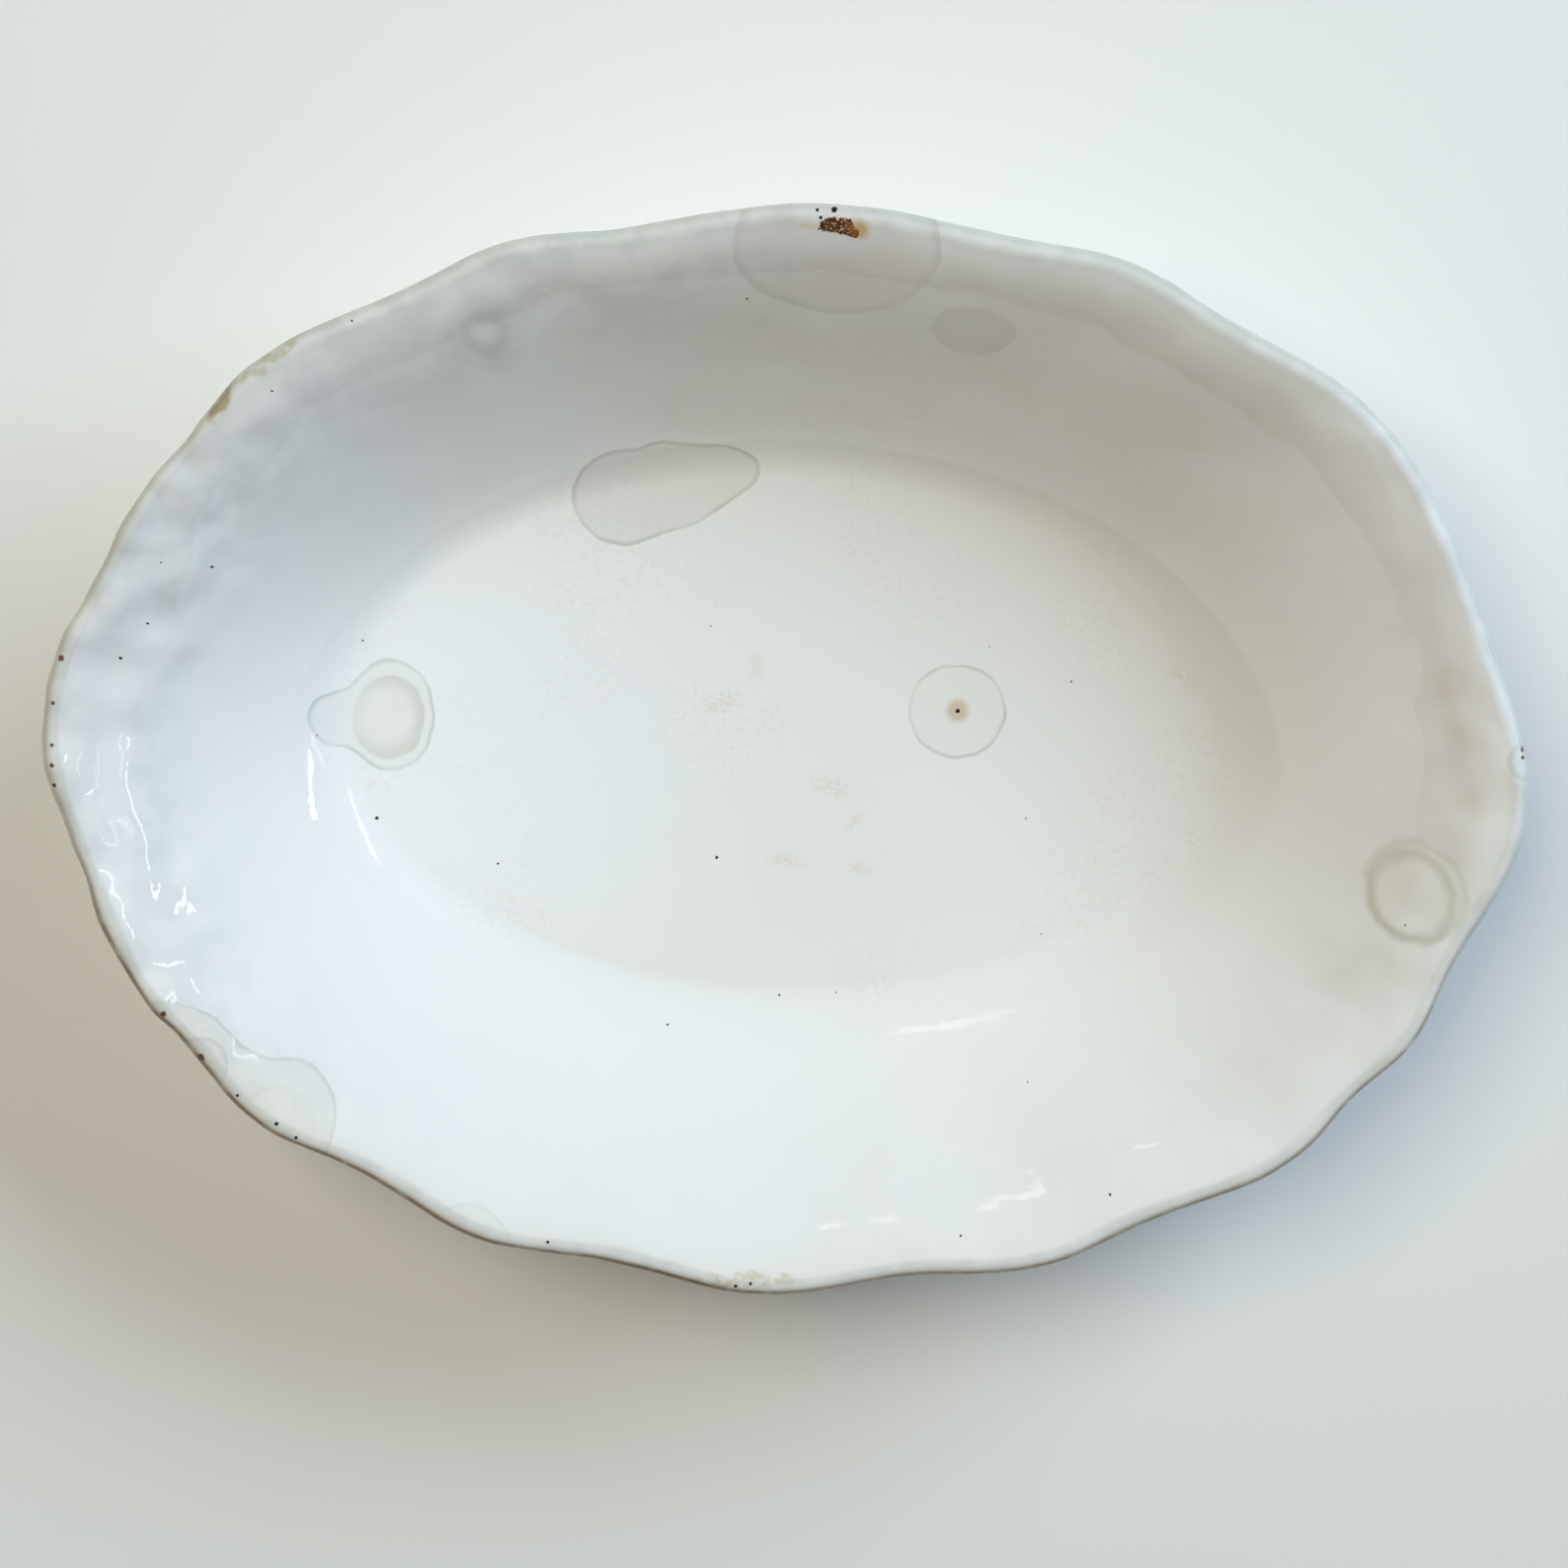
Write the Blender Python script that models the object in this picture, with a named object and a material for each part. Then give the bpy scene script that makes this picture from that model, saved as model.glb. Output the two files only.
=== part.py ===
"""A white ironstone serving dish: an open oval bowl with a flat floor, sloping walls, a rounded rim that
waves in and out in twelve lobes, and an oval foot ring underneath. It is one piece of fired clay, so it is
one object. Metres, +Z up; the foot stands on z = 0 and the rim's box is centred on the Z axis."""

import math

import bmesh
import bpy
from mathutils import Vector

MM = 0.001

# The plain oval of the rim, before its waves, as half-length along X and half-width along Y.
RIM_HALF_LENGTH = 125.6 * MM
RIM_HALF_WIDTH = 93.3 * MM
HEIGHT = 51.0 * MM
LIP_RADIUS = 2.1 * MM

# Every oval from the foot to the rim keeps the same difference between its half-length and half-width.
LENGTH_OVER_WIDTH = RIM_HALF_LENGTH - RIM_HALF_WIDTH

# Inside: a nearly flat floor, then a wall that bends up and runs out to the lip.
FLOOR_HALF_LENGTH = 79.0 * MM
FLOOR_HEIGHT = 9.2 * MM
FLOOR_SAG = 0.5 * MM
FLOOR_RINGS = 4
WALL_RINGS = 9
INNER_BEND = 0.24

# Both walls are steepest half way up and lean out again towards the rim, where they meet the lip.
FLARE = 0.4
RIM_SLOPE = math.radians(38.5)

# Outside: the heel above the foot, and a wall that runs up beside the inner one.
HEEL_HALF_LENGTH = 83.0 * MM
HEEL_HEIGHT = 4.2 * MM
OUTER_BEND = 0.24
LIP_STEPS = 7

# The foot ring: half-length at the outside of its standing face, and the shallow recess that it encloses.
FOOT_HALF_LENGTH = 80.0 * MM
FOOT_FACE_WIDTH = 5.0 * MM
FOOT_EDGE = 0.8 * MM
FOOT_SIDE_HEIGHT = 3.0 * MM
FOOT_SIDE_SPREAD = 1.2 * MM
RECESS_HEIGHT = 3.4 * MM
RECESS_FILLET = 4.0 * MM
FILLET_MIDDLE = (1 / 3, 3 / 4)
RECESS_CROWN = 0.4 * MM
RECESS_RINGS = 3

# The waves of the rim: direction in degrees from +X, and how far the rim stands outside the plain oval
# there, in millimetres. The mould has twelve lobes, one at each end and side and two between each of
# them; drying and hand finishing made every lobe a little different.
RIM_WAVES = (
    (-3, 1.7), (12, -2.0), (34, 2.4), (46, 0.4), (57, 2.1), (70, -0.1),
    (87, 0.9), (108, -1.3), (120, 0.6), (131, -1.1), (144, 0.8), (154, -0.7), (164, -1.3),
    (178, 1.6), (192, -1.4), (201, -0.2), (207, -0.9), (215, 0.7), (226, -2.1), (239, 0.2), (252, -1.9),
    (269, 0.8), (285, -1.4), (299, 1.1), (310, -0.5), (323, 1.9), (331, 0.0), (337, 0.6), (345, -1.4),
)
WAVE_FADE = 2.5
WAVE_LIFT = 0.3

SEGMENTS = 120
SHARPEST_SMOOTH_EDGE = math.radians(50)
GLAZE_COLOUR = (0.80, 0.81, 0.79, 1.0)
GLAZE_ROUGHNESS = 0.18


def clear_scene():
    for obj in list(bpy.data.objects):
        bpy.data.objects.remove(obj, do_unlink=True)


def rim_wave(angle):
    """How far the rim stands outside its plain oval in this direction, in metres."""
    first = RIM_WAVES[0][0]
    degrees = (math.degrees(angle) - first) % 360 + first
    stops = RIM_WAVES + ((first + 360, RIM_WAVES[0][1]),)
    for (start, low), (end, high) in zip(stops, stops[1:]):
        if start <= degrees <= end:
            share = (degrees - start) / (end - start)
            return (low + (high - low) * (1 - math.cos(math.pi * share)) / 2) * MM
    raise ValueError("the waves leave a gap in the rim")


def oval_radius(half_length, half_width, angle):
    return half_length * half_width / math.hypot(half_width * math.cos(angle), half_length * math.sin(angle))


def bend(share, softness):
    """0 to 1 along a hyperbola: level at the start, then nearly straight."""
    return (math.hypot(share, softness) - softness) / (math.hypot(1, softness) - softness)


def rise(share, softness):
    """The height of a wall from 0 to 1, at this share of the way out to the rim."""
    return bend(share, softness) + FLARE * share**2 * (1 - share)


def floor_rings():
    """(half-length, half-width, height, share of the waves) from near the centre to the floor's edge."""
    for step in range(1, FLOOR_RINGS + 1):
        share = step / FLOOR_RINGS
        half_width = FLOOR_HALF_LENGTH - LENGTH_OVER_WIDTH
        yield FLOOR_HALF_LENGTH * share, half_width * share, FLOOR_HEIGHT - FLOOR_SAG * (1 - share**2), 0.0


def wall_ring(half_length, height, waves):
    return half_length, half_length - LENGTH_OVER_WIDTH, height, waves


def inner_wall_rings():
    top_length = RIM_HALF_LENGTH - LIP_RADIUS * (1 + math.sin(RIM_SLOPE))
    top_height = HEIGHT - LIP_RADIUS * (1 - math.cos(RIM_SLOPE))
    for step in range(1, WALL_RINGS + 1):
        share = step / WALL_RINGS
        half_length = FLOOR_HALF_LENGTH + (top_length - FLOOR_HALF_LENGTH) * share
        height = FLOOR_HEIGHT + (top_height - FLOOR_HEIGHT) * rise(share, INNER_BEND)
        yield wall_ring(half_length, height, share**WAVE_FADE)


def lip_rings():
    """Half a circle over the rim, between the ends of the two walls, which it doesn't repeat."""
    for step in range(1, LIP_STEPS):
        turn = RIM_SLOPE + math.pi / 2 - math.pi * step / LIP_STEPS
        half_length = RIM_HALF_LENGTH - LIP_RADIUS * (1 - math.cos(turn))
        yield wall_ring(half_length, HEIGHT - LIP_RADIUS * (1 - math.sin(turn)), 1.0)


def outer_wall_rings():
    top_length = RIM_HALF_LENGTH - LIP_RADIUS * (1 - math.sin(RIM_SLOPE))
    top_height = HEIGHT - LIP_RADIUS * (1 + math.cos(RIM_SLOPE))
    for step in range(WALL_RINGS, -1, -1):
        share = step / WALL_RINGS
        half_length = HEEL_HALF_LENGTH + (top_length - HEEL_HALF_LENGTH) * share
        height = HEEL_HEIGHT + (top_height - HEEL_HEIGHT) * rise(share, OUTER_BEND)
        yield wall_ring(half_length, height, share**WAVE_FADE)


def foot_rings():
    inside = FOOT_HALF_LENGTH - FOOT_FACE_WIDTH
    yield wall_ring(FOOT_HALF_LENGTH + FOOT_SIDE_SPREAD, FOOT_SIDE_HEIGHT, 0.0)
    yield wall_ring(FOOT_HALF_LENGTH + FOOT_EDGE, FOOT_EDGE, 0.0)
    yield wall_ring(FOOT_HALF_LENGTH, 0.0, 0.0)
    yield wall_ring(inside, 0.0, 0.0)
    yield wall_ring(inside - FOOT_EDGE, FOOT_EDGE, 0.0)
    across, up = FILLET_MIDDLE
    yield wall_ring(inside - FOOT_EDGE - RECESS_FILLET * across, RECESS_HEIGHT * up, 0.0)


def recess_rings():
    half_length = FOOT_HALF_LENGTH - FOOT_FACE_WIDTH - FOOT_EDGE - RECESS_FILLET
    half_width = half_length - LENGTH_OVER_WIDTH
    for step in range(RECESS_RINGS, 0, -1):
        share = step / RECESS_RINGS
        height = RECESS_HEIGHT + RECESS_CROWN * (1 - share**2)
        yield half_length * share, half_width * share, height, 0.0


def ring_points(half_length, half_width, height, waves):
    for segment in range(SEGMENTS):
        angle = 2 * math.pi * segment / SEGMENTS
        wave = rim_wave(angle) * waves
        radius = oval_radius(half_length, half_width, angle) + wave
        yield Vector((radius * math.cos(angle), radius * math.sin(angle), height + wave * WAVE_LIFT))


def bridge(mesh, inner, outer):
    """Four-sided faces between two rings, facing out of the clay when inner comes first in the section."""
    for here in range(SEGMENTS):
        after = (here + 1) % SEGMENTS
        mesh.faces.new((inner[here], outer[here], outer[after], inner[after]))


def close_centre(mesh, ring, height, facing_up):
    centre = mesh.verts.new((0, 0, height))
    for here in range(SEGMENTS):
        after = (here + 1) % SEGMENTS
        corners = (centre, ring[here], ring[after])
        mesh.faces.new(corners if facing_up else corners[::-1])


def centre_over_origin(mesh):
    """Moves the dish sideways so that its box is centred on the Z axis."""
    for axis in (0, 1):
        places = [vert.co[axis] for vert in mesh.verts]
        middle = (min(places) + max(places)) / 2
        for vert in mesh.verts:
            vert.co[axis] -= middle


def dish_section():
    upper_side = [*floor_rings(), *inner_wall_rings(), *lip_rings()]
    return [*upper_side, *outer_wall_rings(), *foot_rings(), *recess_rings()]


def dish_mesh():
    mesh = bmesh.new()
    rings = [[mesh.verts.new(point) for point in ring_points(*ring)] for ring in dish_section()]
    close_centre(mesh, rings[0], FLOOR_HEIGHT - FLOOR_SAG, facing_up=True)
    for inner, outer in zip(rings, rings[1:]):
        bridge(mesh, inner, outer)
    close_centre(mesh, rings[-1], RECESS_HEIGHT + RECESS_CROWN, facing_up=False)
    centre_over_origin(mesh)
    data = bpy.data.meshes.new("dish_body")
    mesh.to_mesh(data)
    mesh.free()
    data.shade_smooth()
    data.set_sharp_from_angle(angle=SHARPEST_SMOOTH_EDGE)
    return data


def white_glaze():
    material = bpy.data.materials.new("white_glaze")
    material.use_nodes = True
    shader = material.node_tree.nodes["Principled BSDF"]
    shader.inputs["Base Color"].default_value = GLAZE_COLOUR
    shader.inputs["Roughness"].default_value = GLAZE_ROUGHNESS
    shader.inputs["Metallic"].default_value = 0.0
    return material


def main():
    clear_scene()
    body = bpy.data.objects.new("dish_body", dish_mesh())
    body.data.materials.append(white_glaze())
    bpy.context.scene.collection.objects.link(body)


main()
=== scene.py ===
"""The looks of a white ironstone serving dish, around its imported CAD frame: a finely modelled glazed body
with its stains, specks and worn rim, a crust of rust on the lip, a pale floor, soft studio light and the
camera. +X runs along the dish, +Y across it and +Z up. Shapes, lights and the camera are in metres, and the
marks on the glaze are in millimetres on the plan."""

import math

import bmesh
import bpy
from mathutils import Color, Euler, Matrix, Vector, noise
from mathutils.bvhtree import BVHTree


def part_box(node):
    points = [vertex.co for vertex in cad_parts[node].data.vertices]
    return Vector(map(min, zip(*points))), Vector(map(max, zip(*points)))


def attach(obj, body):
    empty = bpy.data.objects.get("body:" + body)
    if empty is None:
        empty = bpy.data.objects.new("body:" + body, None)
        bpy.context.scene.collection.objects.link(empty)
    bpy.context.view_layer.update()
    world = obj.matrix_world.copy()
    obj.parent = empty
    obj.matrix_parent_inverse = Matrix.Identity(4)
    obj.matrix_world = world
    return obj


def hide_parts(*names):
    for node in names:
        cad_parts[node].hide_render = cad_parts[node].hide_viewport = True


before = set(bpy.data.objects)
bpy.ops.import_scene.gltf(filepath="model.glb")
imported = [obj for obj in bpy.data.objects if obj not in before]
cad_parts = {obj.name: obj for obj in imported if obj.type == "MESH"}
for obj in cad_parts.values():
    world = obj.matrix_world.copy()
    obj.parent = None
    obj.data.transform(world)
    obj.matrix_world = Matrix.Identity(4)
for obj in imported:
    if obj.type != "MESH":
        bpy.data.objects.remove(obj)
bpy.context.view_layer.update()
DISH_LOW, DISH_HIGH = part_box("dish_body")

MM = 0.001

# The dish's section, as on the CAD solid: a flat floor, a wall that bends up, a round lip, an outer wall
# and a foot ring. Every oval keeps the same difference between its half-length and its half-width.
RIM_HALF_LENGTH = 125.6 * MM
RIM_HALF_WIDTH = 93.3 * MM
LENGTH_OVER_WIDTH = RIM_HALF_LENGTH - RIM_HALF_WIDTH
HEIGHT = 51.0 * MM
LIP_RADIUS = 2.1 * MM
FLARE = 0.4
RIM_SLOPE = math.radians(38.5)
FLOOR_HALF_LENGTH = 79.0 * MM
FLOOR_HEIGHT = 9.2 * MM
FLOOR_SAG = 0.5 * MM
INNER_BEND = 0.24
HEEL_HALF_LENGTH = 83.0 * MM
HEEL_HEIGHT = 4.2 * MM
OUTER_BEND = 0.24
FOOT_HALF_LENGTH = 80.0 * MM
FOOT_FACE_WIDTH = 5.0 * MM
FOOT_EDGE = 0.8 * MM
HEEL_FILLET = 1.8 * MM
RECESS_HEIGHT = 3.4 * MM
RECESS_FILLET = 4.0 * MM
RECESS_CROWN = 0.4 * MM

# The waves of the rim: direction in degrees from +X, and millimetres outside the plain oval.
RIM_WAVES = (
    (-3, 1.7), (12, -2.0), (34, 2.4), (46, 0.4), (57, 2.1), (70, -0.1),
    (87, 0.9), (108, -1.3), (120, 0.6), (131, -1.1), (144, 0.8), (154, -0.7), (164, -1.3),
    (178, 1.6), (192, -1.4), (201, -0.2), (207, -0.9), (215, 0.7), (226, -2.1), (239, 0.2), (252, -1.9),
    (269, 0.8), (285, -1.4), (299, 1.1), (310, -0.5), (323, 1.9), (331, 0.0), (337, 0.6), (345, -1.4),
)
WAVE_FADE = 2.5
WAVE_LIFT = 0.3

# How finely the visible dish is made. The inside and the lip carry the most points.
RIM_SEGMENTS = 720
FLOOR_RINGS = 14
WALL_RINGS = 66
LIP_RINGS = 16
OUTER_RINGS = 34
FILLET_STEPS = 6
FOOT_FACE_RINGS = 3
RECESS_RINGS = 8
# Rings smaller than this share of the full size have their points divided by this number.
SPARSER_RINGS = ((0.12, 16), (0.3, 8), (0.7, 4))

# Where a point lies on the section: each zone is one unit long, and the mesh keeps the number as an
# attribute, so that the glaze can tell the floor, the lip and the foot apart.
FLOOR_ZONE, WALL_ZONE, LIP_ZONE, OUTER_ZONE, FOOT_ZONE, RECESS_ZONE = range(6)
SECTION = "section_place"


def rim_wave(angle):
    """How far the rim stands outside its plain oval in this direction, in metres."""
    first = RIM_WAVES[0][0]
    degrees = (math.degrees(angle) - first) % 360 + first
    stops = RIM_WAVES + ((first + 360, RIM_WAVES[0][1]),)
    for (start, low), (end, high) in zip(stops, stops[1:]):
        if start <= degrees <= end:
            share = (degrees - start) / (end - start)
            return (low + (high - low) * (1 - math.cos(math.pi * share)) / 2) * MM
    raise ValueError("the waves leave a gap in the rim")


def oval_radius(half_length, half_width, angle):
    return half_length * half_width / math.hypot(half_width * math.cos(angle), half_length * math.sin(angle))


def bend(share, softness):
    """0 to 1 along a hyperbola: level at the start, then nearly straight."""
    return (math.hypot(share, softness) - softness) / (math.hypot(1, softness) - softness)


def rise(share, softness):
    """The height of a wall from 0 to 1, at this share of the way out to the rim: it leans out at the top."""
    return bend(share, softness) + FLARE * share**2 * (1 - share)


def between(low, high, share):
    return low + (high - low) * share


def segments_at(share):
    """How many points go round a ring near the middle, at this share of the full size."""
    for limit, divisor in SPARSER_RINGS:
        if share < limit:
            return RIM_SEGMENTS // divisor
    return RIM_SEGMENTS // 2


def floor_rings():
    """Each ring is (half-length, half-width, height, share of the waves, place on the section, points)."""
    for step in range(1, FLOOR_RINGS + 1):
        share = step / FLOOR_RINGS
        half_width = FLOOR_HALF_LENGTH - LENGTH_OVER_WIDTH
        height = FLOOR_HEIGHT - FLOOR_SAG * (1 - share**2)
        place = FLOOR_ZONE + share
        yield FLOOR_HALF_LENGTH * share, half_width * share, height, 0.0, place, segments_at(share)


def ring(half_length, height, waves, place, segments=RIM_SEGMENTS // 2):
    return half_length, half_length - LENGTH_OVER_WIDTH, height, waves, place, segments


def wall_rings():
    top_length = RIM_HALF_LENGTH - LIP_RADIUS * (1 + math.sin(RIM_SLOPE))
    top_height = HEIGHT - LIP_RADIUS * (1 - math.cos(RIM_SLOPE))
    for step in range(1, WALL_RINGS + 1):
        share = step / WALL_RINGS
        half_length = between(FLOOR_HALF_LENGTH, top_length, share)
        height = between(FLOOR_HEIGHT, top_height, rise(share, INNER_BEND))
        yield ring(half_length, height, share**WAVE_FADE, WALL_ZONE + share, RIM_SEGMENTS)


def lip_rings():
    """Half a circle over the rim, from the inner wall to the outer one."""
    for step in range(1, LIP_RINGS):
        share = step / LIP_RINGS
        turn = RIM_SLOPE + math.pi / 2 - math.pi * share
        half_length = RIM_HALF_LENGTH - LIP_RADIUS * (1 - math.cos(turn))
        height = HEIGHT - LIP_RADIUS * (1 - math.sin(turn))
        yield ring(half_length, height, 1.0, LIP_ZONE + share, RIM_SEGMENTS)


def outer_rings():
    top_length = RIM_HALF_LENGTH - LIP_RADIUS * (1 - math.sin(RIM_SLOPE))
    top_height = HEIGHT - LIP_RADIUS * (1 + math.cos(RIM_SLOPE))
    for step in range(OUTER_RINGS + 1):
        share = 1 - step / OUTER_RINGS
        half_length = between(HEEL_HALF_LENGTH, top_length, share)
        height = between(HEEL_HEIGHT, top_height, rise(share, OUTER_BEND))
        yield ring(half_length, height, share**WAVE_FADE, OUTER_ZONE + 1 - share)


def quarter_turn(steps):
    """(cosine, sine) at even steps over a quarter circle, without its start."""
    for step in range(1, steps + 1):
        turn = math.pi / 2 * step / steps
        yield math.cos(turn), math.sin(turn)


def foot_rings():
    """The fillet under the heel, the rounded outer edge, the standing face and the inner edge."""
    side = FOOT_HALF_LENGTH + FOOT_EDGE
    inside = FOOT_HALF_LENGTH - FOOT_FACE_WIDTH
    sections = []
    for down, inward in quarter_turn(FILLET_STEPS):
        height = HEEL_HEIGHT - HEEL_FILLET * (1 - down)
        sections.append((between(HEEL_HALF_LENGTH, side, inward), height))
    for inward, down in quarter_turn(FILLET_STEPS):
        sections.append((FOOT_HALF_LENGTH + FOOT_EDGE * inward, FOOT_EDGE * (1 - down)))
    for step in range(1, FOOT_FACE_RINGS + 1):
        sections.append((FOOT_HALF_LENGTH - FOOT_FACE_WIDTH * step / FOOT_FACE_RINGS, 0.0))
    for upright, inward in quarter_turn(FILLET_STEPS):
        sections.append((inside - FOOT_EDGE * inward, FOOT_EDGE * (1 - upright)))
    for place, (half_length, height) in enumerate(sections, 1):
        yield ring(half_length, height, 0.0, FOOT_ZONE + place / len(sections))


def recess_rings():
    """The hollow fillet inside the foot ring, then the slightly domed underside."""
    edge = FOOT_HALF_LENGTH - FOOT_FACE_WIDTH - FOOT_EDGE - RECESS_FILLET
    for outward, up in quarter_turn(FILLET_STEPS):
        height = between(FOOT_EDGE, RECESS_HEIGHT, up)
        yield ring(edge + RECESS_FILLET * outward, height, 0.0, RECESS_ZONE)
    half_width = edge - LENGTH_OVER_WIDTH
    for step in range(RECESS_RINGS - 1, 0, -1):
        share = step / RECESS_RINGS
        height = RECESS_HEIGHT + RECESS_CROWN * (1 - share**2)
        yield edge * share, half_width * share, height, 0.0, RECESS_ZONE + 1 - share, segments_at(share)


def ring_points(half_length, half_width, height, waves, segments):
    """The points of one ring, from +X round towards +Y."""
    for segment in range(segments):
        angle = 2 * math.pi * segment / segments
        wave = rim_wave(angle) * waves
        radius = oval_radius(half_length, half_width, angle) + wave
        yield Vector((radius * math.cos(angle), radius * math.sin(angle), height + wave * WAVE_LIFT))


def bridge(mesh, first, second):
    """Faces between two rings, which have the same number of points or one of them twice as many."""
    grows = len(first) < len(second)
    few, many = (first, second) if grows else (second, first)
    ratio = len(many) // len(few)
    for here in range(len(few)):
        after = (here + 1) % len(few)
        fan = [many[(here * ratio + step) % len(many)] for step in range(ratio + 1)]
        faces = [(few[here], *fan, few[after])]
        if ratio == 2:
            start, middle, end = fan
            faces = [(few[here], start, middle), (few[here], middle, few[after]), (few[after], middle, end)]
        for face in faces:
            mesh.faces.new(face if grows else face[::-1])


def close_centre(mesh, ring_verts, height, facing_up):
    centre = mesh.verts.new((0, 0, height))
    for here in range(len(ring_verts)):
        corners = (centre, ring_verts[here], ring_verts[(here + 1) % len(ring_verts)])
        mesh.faces.new(corners if facing_up else corners[::-1])
    return centre


def smooth_step(value, low, high):
    share = min(max((value - low) / (high - low), 0.0), 1.0)
    return share * share * (3 - 2 * share)


def ripple(point, size, seed):
    """Smooth noise from about -1 to 1, with bumps about this many metres across."""
    return noise.noise(point / size + Vector((seed, 0, 0)))


# How the fired glaze departs from the plain section. A size is how far apart the bumps lie, a depth is how
# far they stand out, and a seed picks a stretch of the noise.
UNEVEN_SIZE, UNEVEN_DEPTH, UNEVEN_SEED = 42 * MM, 0.35 * MM, 3.1
RIPPLE_SIZE, RIPPLE_DEPTH, RIPPLE_SEED = 8.5 * MM, 1.05 * MM, 7.7
DIMPLE_SIZE, DIMPLE_DEPTH, DIMPLE_SEED = 3.8 * MM, 0.16 * MM, 1.9

# Ripples and dimples set in over this stretch of the wall, and fade at the outside of the lip, where only
# this share of them is left.
RIPPLES_SET_IN = (WALL_ZONE + 0.35, WALL_ZONE + 0.8)
RIPPLES_FADE = (LIP_ZONE + 0.4, OUTER_ZONE + 0.1)
RIPPLES_OUTSIDE = 0.15
# They grow to full strength over these distances from the middle: all of it at the left end of the dish,
# this share of it at the right end, and only a little along the sides.
LEFT_END = (78 * MM, 108 * MM)
RIGHT_END = (85 * MM, 112 * MM)
RIGHT_END_SHARE = 0.45
RIPPLES_AT_SIDES, DIMPLES_AT_SIDES = 0.2, 0.3
# Everything fades out over this stretch of the outer wall.
RELIEF_FADES = (OUTER_ZONE + 0.3, OUTER_ZONE + 0.9)

# The wall swells between these shares of its width, to the top of the swelling. Where it meets the lip, only
# this share of the swelling is left, which ends a short way over the lip.
SWELL_DEPTH = 1.1 * MM
SWELL_START, SWELL_TOP = 0.46, 0.857
SWELL_LEFT = 0.11
SWELL_OVER_LIP = 0.15


def swelling(place):
    """0 to 1: the wall thickens slowly towards the rim, then flattens faster and faster up to the lip."""
    rising = smooth_step(place, WALL_ZONE + SWELL_START, WALL_ZONE + SWELL_TOP)
    past_top = min(max((place - WALL_ZONE - SWELL_TOP) / (1 - SWELL_TOP), 0.0), 1.0)
    on_lip = smooth_step(place, LIP_ZONE, LIP_ZONE + SWELL_OVER_LIP)
    return (rising - (1 - SWELL_LEFT) * past_top**2) * (1 - on_lip)


def relief(point, place):
    """How far the fired glaze stands out of the plain section here, in metres: a slight unevenness all
    over, a swelling that rounds the wall softly over into the lip, and ripples below the rim that are
    strongest at the left end of the dish."""
    uneven = ripple(point, UNEVEN_SIZE, UNEVEN_SEED) * UNEVEN_DEPTH
    at_end = smooth_step(-point.x, *LEFT_END) + RIGHT_END_SHARE * smooth_step(point.x, *RIGHT_END)
    ripples = ripple(point, RIPPLE_SIZE, RIPPLE_SEED) * RIPPLE_DEPTH * between(RIPPLES_AT_SIDES, 1, at_end)
    dimples = ripple(point, DIMPLE_SIZE, DIMPLE_SEED) * DIMPLE_DEPTH * between(DIMPLES_AT_SIDES, 1, at_end)
    near_rim = smooth_step(place, *RIPPLES_SET_IN)
    near_rim *= 1 - (1 - RIPPLES_OUTSIDE) * smooth_step(place, *RIPPLES_FADE)
    standing_out = uneven + SWELL_DEPTH * swelling(place) + (ripples + dimples) * near_rim
    return standing_out * (1 - smooth_step(place, *RELIEF_FADES))


def fit_to_box(mesh, low, high):
    """Stretches the mesh by the last fraction of a millimetre, so that its box is the CAD solid's."""
    for axis in range(3):
        places = [vert.co[axis] for vert in mesh.verts]
        start, size = min(places), max(places) - min(places)
        for vert in mesh.verts:
            vert.co[axis] = between(low[axis], high[axis], (vert.co[axis] - start) / size)


def dish_rings(mesh, place_layer):
    """The points of every ring from the middle of the floor over the rim to the middle of the underside."""
    sections = [*floor_rings(), *wall_rings(), *lip_rings(), *outer_rings(), *foot_rings(), *recess_rings()]
    for half_length, half_width, height, waves, place, segments in sections:
        points = ring_points(half_length, half_width, height, waves, segments)
        ring_verts = [mesh.verts.new(point) for point in points]
        for vert in ring_verts:
            vert[place_layer] = place
        yield ring_verts


def new_piece(name, mesh):
    """Turns a bmesh into an object of this name in the scene, and frees it."""
    data = bpy.data.meshes.new(name)
    mesh.to_mesh(data)
    mesh.free()
    data.shade_smooth()
    piece = bpy.data.objects.new(name, data)
    bpy.context.scene.collection.objects.link(piece)
    return piece


def dish_body():
    mesh = bmesh.new()
    place_layer = mesh.verts.layers.float.new(SECTION)
    rings = list(dish_rings(mesh, place_layer))
    close_centre(mesh, rings[0], FLOOR_HEIGHT - FLOOR_SAG, facing_up=True)
    for first, second in zip(rings, rings[1:]):
        bridge(mesh, first, second)
    underside = close_centre(mesh, rings[-1], RECESS_HEIGHT + RECESS_CROWN, facing_up=False)
    underside[place_layer] = RECESS_ZONE + 1.0
    mesh.normal_update()
    for vert in mesh.verts:
        vert.co += vert.normal * relief(vert.co, vert[place_layer])
    fit_to_box(mesh, DISH_LOW, DISH_HIGH)
    return new_piece("glazed_dish", mesh)


def srgb(red, green, blue):
    """A colour as a screen shows it, 0 to 1, turned into the linear colour that Blender works in."""
    return (*Color((red, green, blue)).from_srgb_to_scene_linear(), 1.0)


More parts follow.
